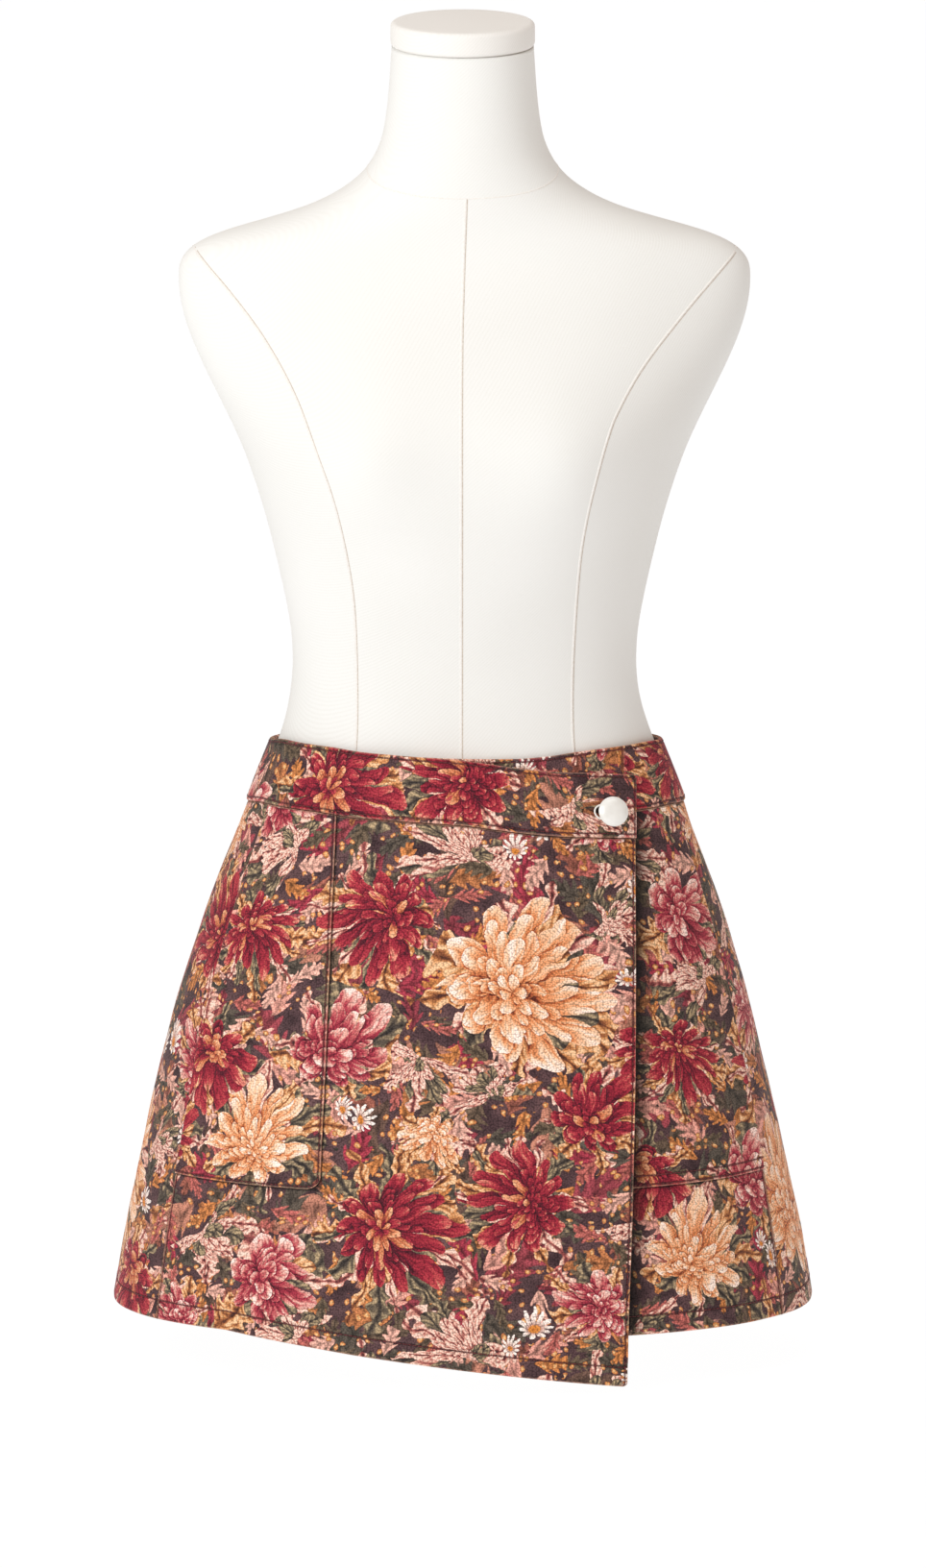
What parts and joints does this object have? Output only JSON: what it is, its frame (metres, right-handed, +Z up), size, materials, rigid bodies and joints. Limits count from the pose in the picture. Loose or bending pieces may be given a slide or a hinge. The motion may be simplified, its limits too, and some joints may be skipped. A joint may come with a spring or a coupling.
{
  "type": "wrap skort on dress form",
  "caption": "Short A-line wrap skort in a floral woven cloth, with patch pockets and a button at its waistband, on a white limbless dress form.",
  "frame": {"origin": "centre of the dress form's flat base, on the floor", "axes": "+Z up along the form, the garment's front faces -Y, +X to the right of someone who looks at the front"},
  "size_m": [0.4732, 0.3571, 0.9156],
  "materials": {
    "floral_cloth": "woven tapestry-like floral print, matt with a little sheen",
    "form_cover": "fine off-white twill cover, matt",
    "button_metal": "satin pearl white"
  },
  "bodies": {
    "root": {"form_body": "form_cover", "neck_cap": "form_cover", "back": "floral_cloth", "front_under": "floral_cloth", "front_wrap": "floral_cloth", "waistband": "floral_cloth", "band_under": "floral_cloth", "pocket_left": "floral_cloth", "pocket_right": "floral_cloth", "button": "button_metal"}
  },
  "joints": []
}
